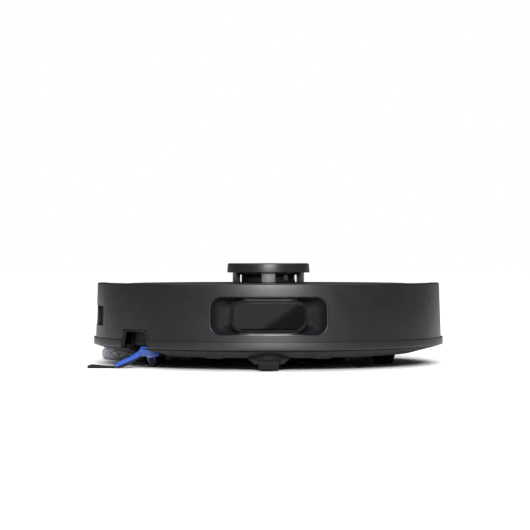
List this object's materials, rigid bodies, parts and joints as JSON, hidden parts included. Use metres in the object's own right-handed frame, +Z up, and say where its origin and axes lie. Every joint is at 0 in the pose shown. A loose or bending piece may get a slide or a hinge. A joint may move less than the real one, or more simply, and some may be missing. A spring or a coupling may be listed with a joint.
{
  "type": "robot vacuum",
  "caption": "Round robot vacuum and mop: sprung bumper with sensor window, lidar turret, drive wheels, side brush, dust box, and spinning mops of which one reaches out past the body.",
  "frame": {"origin": "the robot's own axis where it meets the floor, which is the middle of the base of its box", "axes": "+Z up, the front bumper faces -Y, the robot's left side is +X"},
  "size_m": [0.362, 0.362, 0.104],
  "materials": {
    "graphite_shell": "fine matte, dark graphite",
    "dark_base": "fine matte, near black",
    "inner_grey": "matte, mid grey",
    "black_gloss": "polished, infrared black",
    "tyre_rubber": "matte rubber",
    "brush_blue": "satin, soft blue",
    "bristle_black": "fine fibres",
    "mop_blue": "satin, blue grey",
    "mop_fibre": "short looped fibre",
    "contact_metal": "plated",
    "board_green": "solder mask",
    "smoked_clear": "smoked",
    "filter_white": "pleated"
  },
  "bodies": {
    "chassis": {"base_chassis": "dark_base", "battery_pack": "dark_base", "brush_gearbox": "dark_base", "brush_guard": "dark_base", "brush_housing": "inner_grey", "charge_contact_left": "contact_metal", "charge_contact_right": "contact_metal", "cliff_window_left": "black_gloss", "cliff_window_right": "black_gloss", "fan_housing": "inner_grey", "lidar_base": "graphite_shell", "lidar_belt": "tyre_rubber", "lidar_motor": "contact_metal", "main_board": "board_green", "rear_shell": "graphite_shell", "rear_skirt": "graphite_shell", "side_brush_motor": "contact_metal", "speaker": "dark_base", "suction_duct": "inner_grey", "top_deck": "graphite_shell", "water_pump": "inner_grey", "water_tank": "smoked_clear"},
    "bumper": {"bumper_shell": "graphite_shell", "bumper_skirt": "graphite_shell", "bumper_skirt_right": "graphite_shell", "sensor_glass": "black_gloss", "sensor_module": "dark_base", "side_sensor_window": "black_gloss", "window_bezel": "graphite_shell"},
    "turret_cap": {"lidar_cap": "graphite_shell"},
    "lidar": {"lidar_rotor": "dark_base", "lidar_lens": "black_gloss"},
    "lidar_drive": {"lidar_pulley": "inner_grey"},
    "cover": {"top_cover": "graphite_shell"},
    "dust_bin": {"dust_box": "smoked_clear", "dust_filter": "filter_white"},
    "dust_lid": {"dust_box_lid": "smoked_clear"},
    "power_key": {"power_button": "inner_grey"},
    "dock_key": {"dock_button": "inner_grey"},
    "arm_left": {"wheel_arm_left": "inner_grey"},
    "arm_right": {"wheel_arm_right": "inner_grey"},
    "wheel_left": {"wheel_hub_left": "dark_base", "tyre_left": "tyre_rubber"},
    "wheel_right": {"wheel_hub_right": "dark_base", "tyre_right": "tyre_rubber"},
    "caster": {"caster_fork": "dark_base"},
    "roller": {"caster_roller": "inner_grey"},
    "main_brush": {"main_brush": "tyre_rubber"},
    "side_brush": {"side_brush_hub": "brush_blue", "side_bristles_front": "bristle_black", "side_bristles_rear": "bristle_black", "side_brush_screw": "contact_metal"},
    "fan": {"fan_impeller": "dark_base"},
    "mop_arm": {"mop_arm_right": "inner_grey"},
    "mop_lift_right": {"mop_gearbox_right": "inner_grey"},
    "mop_right": {"mop_plate_right": "mop_blue", "mop_pad_right": "mop_fibre"},
    "mop_lift_left": {"mop_gearbox_left": "inner_grey"},
    "mop_left": {"mop_plate_left": "mop_blue", "mop_pad_left": "mop_fibre"}
  },
  "joints": [
    {"name": "bumper_press", "type": "slide", "parent": "chassis", "child": "bumper", "axis": [0, 1, 0], "range_m": [0, 0.003], "stiffness_N_per_m": 800, "springref_m": -0.001},
    {"name": "turret_cap_press", "type": "slide", "parent": "chassis", "child": "turret_cap", "axis": [0, 0, -1], "range_m": [0, 0.001], "stiffness_N_per_m": 2500, "springref_m": -0.0006},
    {"name": "lidar_spin", "type": "hinge", "parent": "chassis", "child": "lidar", "pos_m": [0, 0, 0.09], "axis": [0, 0, 1], "continuous": true},
    {"name": "lidar_pulley_spin", "type": "hinge", "parent": "chassis", "child": "lidar_drive", "pos_m": [0.046, 0, 0.075], "axis": [0, 0, 1], "continuous": true},
    {"name": "top_cover_lift", "type": "slide", "parent": "chassis", "child": "cover", "axis": [0, 0, 1], "range_m": [0, 0.3]},
    {"name": "dust_box_lift", "type": "slide", "parent": "chassis", "child": "dust_bin", "axis": [0, 0, 1], "range_m": [0, 0.0901]},
    {"name": "dust_lid_open", "type": "hinge", "parent": "dust_bin", "child": "dust_lid", "pos_m": [0, -0.066, 0.0755], "axis": [-1, 0, 0], "range_deg": [0, 91]},
    {"name": "power_button_press", "type": "slide", "parent": "chassis", "child": "power_key", "axis": [0, 0, -1], "range_m": [0, 0.0008], "stiffness_N_per_m": 400, "springref_m": -0.0003},
    {"name": "dock_button_press", "type": "slide", "parent": "chassis", "child": "dock_key", "axis": [0, 0, -1], "range_m": [0, 0.0008], "stiffness_N_per_m": 400, "springref_m": -0.0003},
    {"name": "wheel_drop_left", "type": "hinge", "parent": "chassis", "child": "arm_left", "pos_m": [0.1028, -0.036, 0.04], "axis": [1, 0, 0], "range_deg": [-32, 0], "stiffness_Nm_per_rad": 0.1, "springref_deg": -32.09},
    {"name": "wheel_drop_right", "type": "hinge", "parent": "chassis", "child": "arm_right", "pos_m": [-0.1028, -0.036, 0.04], "axis": [1, 0, 0], "range_deg": [-32, 0], "stiffness_Nm_per_rad": 0.1, "springref_deg": -32.09},
    {"name": "wheel_spin_left", "type": "hinge", "parent": "arm_left", "child": "wheel_left", "pos_m": [0.119, -0.006, 0.033], "axis": [1, 0, 0], "continuous": true},
    {"name": "wheel_spin_right", "type": "hinge", "parent": "arm_right", "child": "wheel_right", "pos_m": [-0.119, -0.006, 0.033], "axis": [1, 0, 0], "continuous": true},
    {"name": "caster_swivel", "type": "hinge", "parent": "chassis", "child": "caster", "pos_m": [0, -0.143, 0.012], "axis": [0, 0, 1], "continuous": true},
    {"name": "caster_roll", "type": "hinge", "parent": "caster", "child": "roller", "pos_m": [0, -0.15, 0.0098], "axis": [1, 0, 0], "continuous": true},
    {"name": "main_brush_spin", "type": "hinge", "parent": "chassis", "child": "main_brush", "pos_m": [0, -0.027, 0.021], "axis": [1, 0, 0], "continuous": true},
    {"name": "side_brush_spin", "type": "hinge", "parent": "chassis", "child": "side_brush", "pos_m": [-0.117, -0.108, 0.015], "axis": [0, 0, 1], "continuous": true},
    {"name": "fan_spin", "type": "hinge", "parent": "chassis", "child": "fan", "pos_m": [0.112, -0.088, 0.042], "axis": [0, 0, 1], "continuous": true},
    {"name": "mop_arm_slide", "type": "slide", "parent": "chassis", "child": "mop_arm", "axis": [1, 0, 0], "range_m": [0, 0.043]},
    {"name": "mop_raise_right", "type": "slide", "parent": "mop_arm", "child": "mop_lift_right", "axis": [0, 0, 1], "range_m": [0, 0.003]},
    {"name": "mop_spin_right", "type": "hinge", "parent": "mop_lift_right", "child": "mop_right", "pos_m": [-0.115, 0.092, 0.0165], "axis": [0, 0, 1], "continuous": true},
    {"name": "mop_raise_left", "type": "slide", "parent": "chassis", "child": "mop_lift_left", "axis": [0, 0, 1], "range_m": [0, 0.0085]},
    {"name": "mop_spin_left", "type": "hinge", "parent": "mop_lift_left", "child": "mop_left", "pos_m": [0.072, 0.092, 0.0165], "axis": [0, 0, 1], "continuous": true}
  ],
  "couplings": [
    {"joint": "lidar_pulley_spin", "follows": "lidar_spin", "ratio": 4.8},
    {"joint": "dust_box_lift", "follows": "top_cover_lift", "ratio": 0.3},
    {"joint": "dust_lid_open", "follows": "top_cover_lift", "rad_per_m": 5.236}
  ]
}
